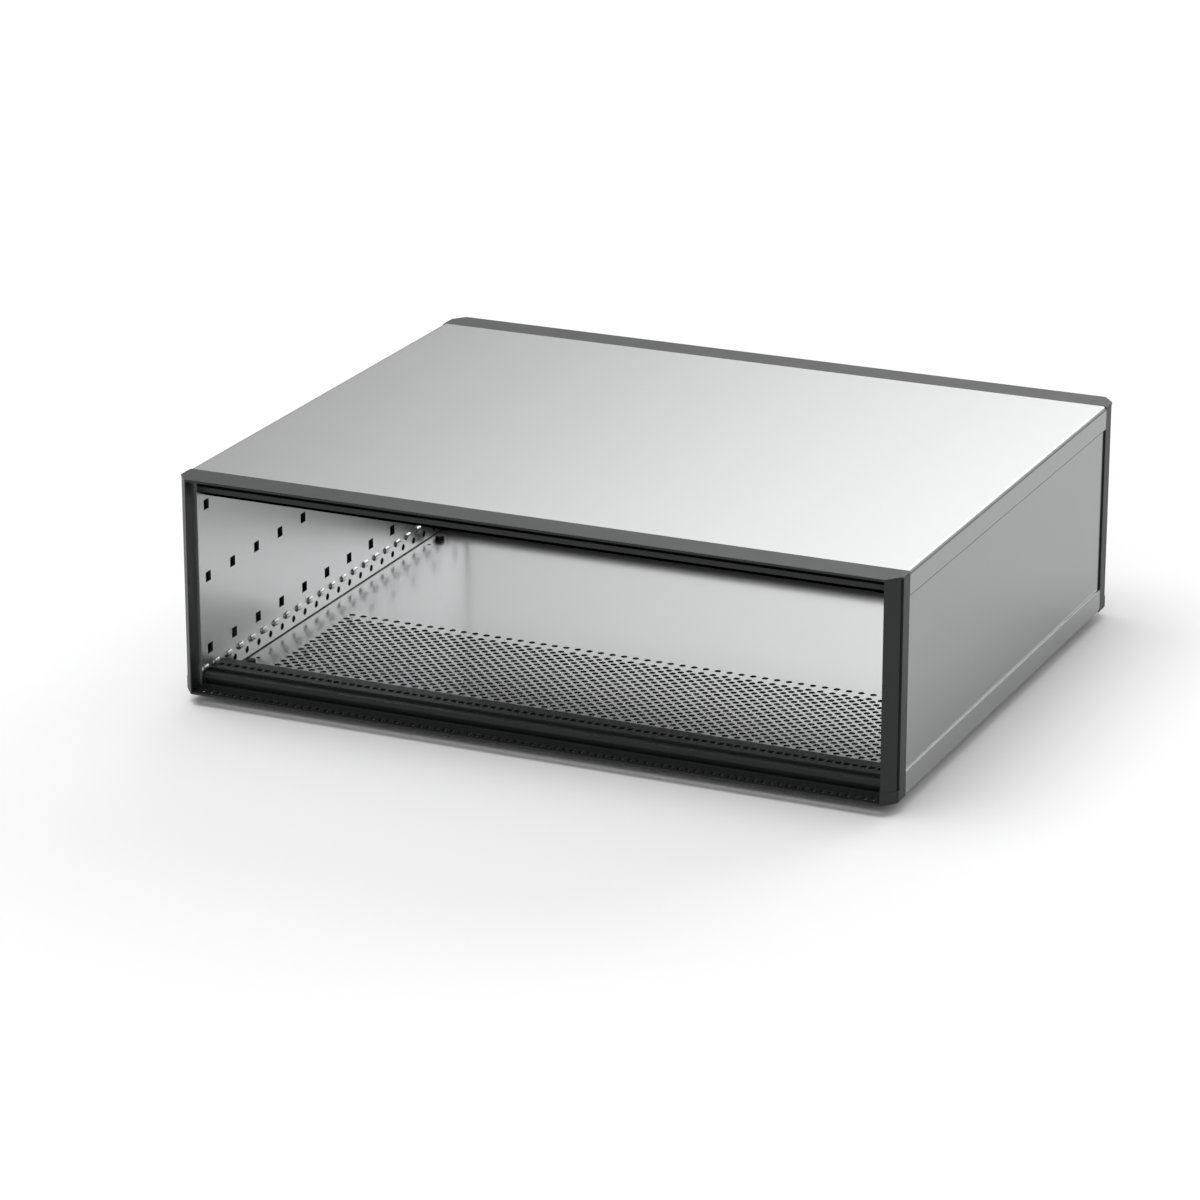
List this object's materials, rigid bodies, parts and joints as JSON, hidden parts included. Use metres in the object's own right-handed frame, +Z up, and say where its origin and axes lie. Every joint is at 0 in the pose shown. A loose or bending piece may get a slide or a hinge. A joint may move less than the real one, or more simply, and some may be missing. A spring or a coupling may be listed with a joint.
{
  "type": "electronics enclosure",
  "caption": "Wide flat desktop enclosure of satin folded sheet between dark frames, open at front and rear, with grooved rails, slotted side plates and a perforated floor.",
  "frame": {"origin": "middle of the outline at floor level, under the feet", "axes": "+X to the right along the width as seen from the front, +Y to the rear, +Z up"},
  "size_m": [0.448, 0.3754, 0.1395],
  "materials": {
    "satin_sheet": "satin",
    "dark_frame": "satin dark coat",
    "foot_plastic": "matte",
    "bright_fastener": "zinc plated"
  },
  "bodies": {
    "root": {"top_cover": "satin_sheet", "bottom_cover": "satin_sheet", "left_side_panel": "satin_sheet", "right_side_panel": "satin_sheet", "left_side_plate": "satin_sheet", "right_side_plate": "satin_sheet", "front_top_rail": "dark_frame", "front_bottom_rail": "dark_frame", "rear_top_rail": "dark_frame", "rear_bottom_rail": "dark_frame", "front_left_upright": "dark_frame", "front_right_upright": "dark_frame", "rear_left_upright": "dark_frame", "rear_right_upright": "dark_frame", "front_left_foot": "foot_plastic", "front_right_foot": "foot_plastic", "rear_left_foot": "foot_plastic", "rear_right_foot": "foot_plastic", "front_left_foot_clip": "foot_plastic", "front_right_foot_clip": "foot_plastic", "rear_left_foot_clip": "foot_plastic", "rear_right_foot_clip": "foot_plastic", "rail_screws": "bright_fastener", "panel_spacers": "bright_fastener"}
  },
  "joints": []
}
